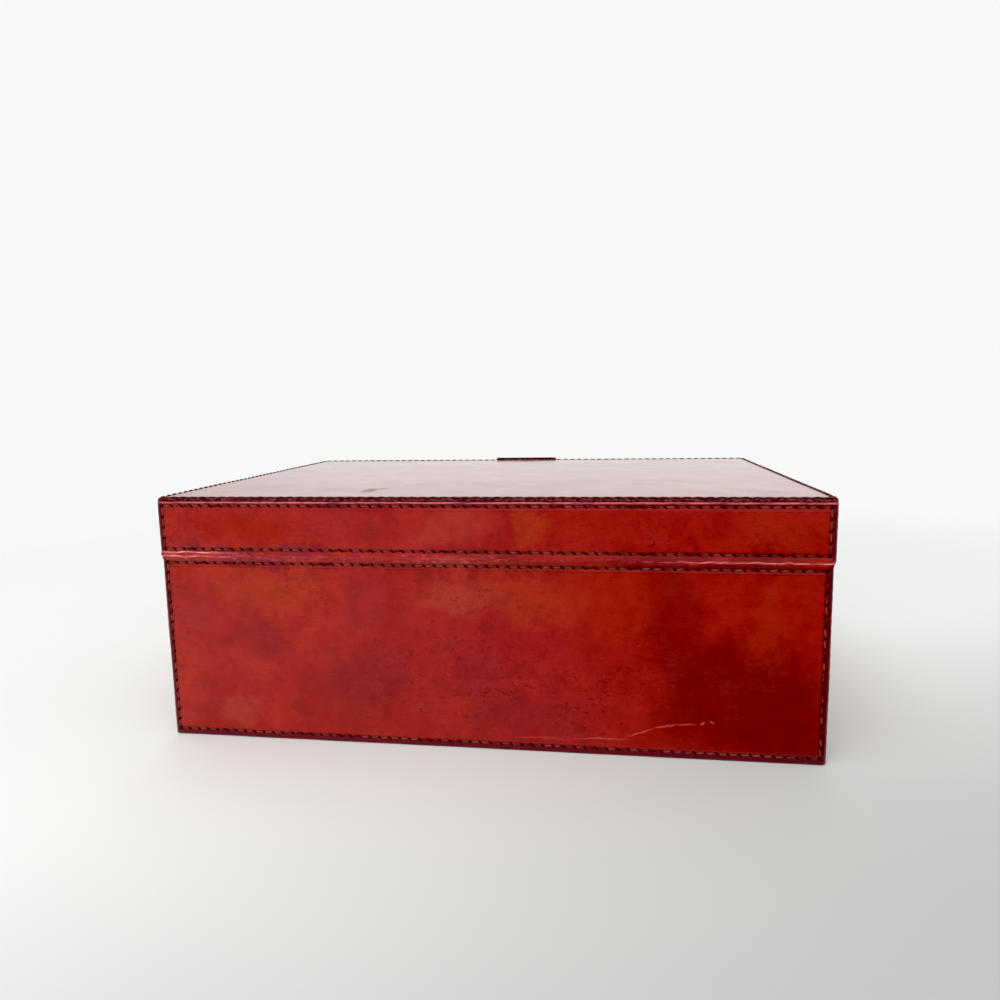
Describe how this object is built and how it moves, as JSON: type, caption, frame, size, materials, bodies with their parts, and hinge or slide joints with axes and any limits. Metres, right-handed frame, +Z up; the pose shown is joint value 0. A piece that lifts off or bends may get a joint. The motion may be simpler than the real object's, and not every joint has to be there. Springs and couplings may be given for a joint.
{
  "type": "leather jewelry box",
  "caption": "Red leather-covered jewelry box with stitched edges, a leather-hinged lid, a magnetic front flap and a padded lift-out tray over a divided well.",
  "frame": {"origin": "middle of the base's flat bottom face, without the closure flap", "axes": "+Z up, +X along the length with the closure flap on the front at -Y and the leather hinge along the rear at +Y"},
  "size_m": [0.3014, 0.2128, 0.1167],
  "materials": {
    "red_leather": "gloss",
    "case_board": "matte",
    "suede_lining": "matte",
    "magnet_steel": "satin",
    "thread": "satin"
  },
  "bodies": {
    "base": {"base_bottom_board": "case_board", "base_bottom_cover": "red_leather", "base_front_board": "case_board", "base_front_leather": "red_leather", "base_front_lining": "suede_lining", "base_left_board": "case_board", "base_left_leather": "red_leather", "base_left_lining": "suede_lining", "base_magnet": "magnet_steel", "base_rear_board": "case_board", "base_rear_leather": "red_leather", "base_rear_lining": "suede_lining", "base_rear_rim": "red_leather", "base_right_board": "case_board", "base_right_leather": "red_leather", "base_right_lining": "suede_lining", "hinge_leather": "red_leather", "well_floor_pad": "suede_lining", "well_front_liner": "suede_lining", "well_left_divider": "suede_lining", "well_left_liner": "suede_lining", "well_rear_liner": "suede_lining", "well_right_divider": "suede_lining", "well_right_liner": "suede_lining"},
    "lid": {"closure_root": "red_leather", "lid_front_board": "case_board", "lid_front_leather": "red_leather", "lid_front_lining": "suede_lining", "lid_left_board": "case_board", "lid_left_leather": "red_leather", "lid_left_lining": "suede_lining", "lid_pad": "suede_lining", "lid_rear_board": "case_board", "lid_rear_leather": "red_leather", "lid_rear_lining": "suede_lining", "lid_rear_rim": "red_leather", "lid_right_board": "case_board", "lid_right_leather": "red_leather", "lid_right_lining": "suede_lining", "lid_top_board": "case_board", "lid_top_leather": "red_leather"},
    "flap": {"closure_flap": "red_leather", "closure_flap_lining": "red_leather", "closure_flap_magnet": "magnet_steel"},
    "tray": {"tray_floor": "suede_lining", "tray_front_wall": "suede_lining", "tray_left_tab": "red_leather", "tray_left_wall": "suede_lining", "tray_long_divider": "suede_lining", "tray_rear_wall": "suede_lining", "tray_right_tab": "red_leather", "tray_right_wall": "suede_lining", "tray_ring_divider": "suede_lining", "tray_ring_rolls": "suede_lining", "tray_short_divider_1": "suede_lining", "tray_short_divider_2": "suede_lining"}
  },
  "joints": [
    {"name": "lid_hinge", "type": "hinge", "parent": "base", "child": "lid", "pos_m": [0, 0.1045, 0.0875], "axis": [-1, 0, 0], "range_deg": [0, 110], "deforming": ["hinge_leather"]},
    {"name": "flap_fold", "type": "hinge", "parent": "lid", "child": "flap", "pos_m": [0, -0.1069, 0.091], "axis": [-1, 0, 0], "range_deg": [0, 120]},
    {"name": "tray_lift", "type": "slide", "parent": "base", "child": "tray", "axis": [0, 0, 1], "range_m": [0, 0.015]}
  ]
}
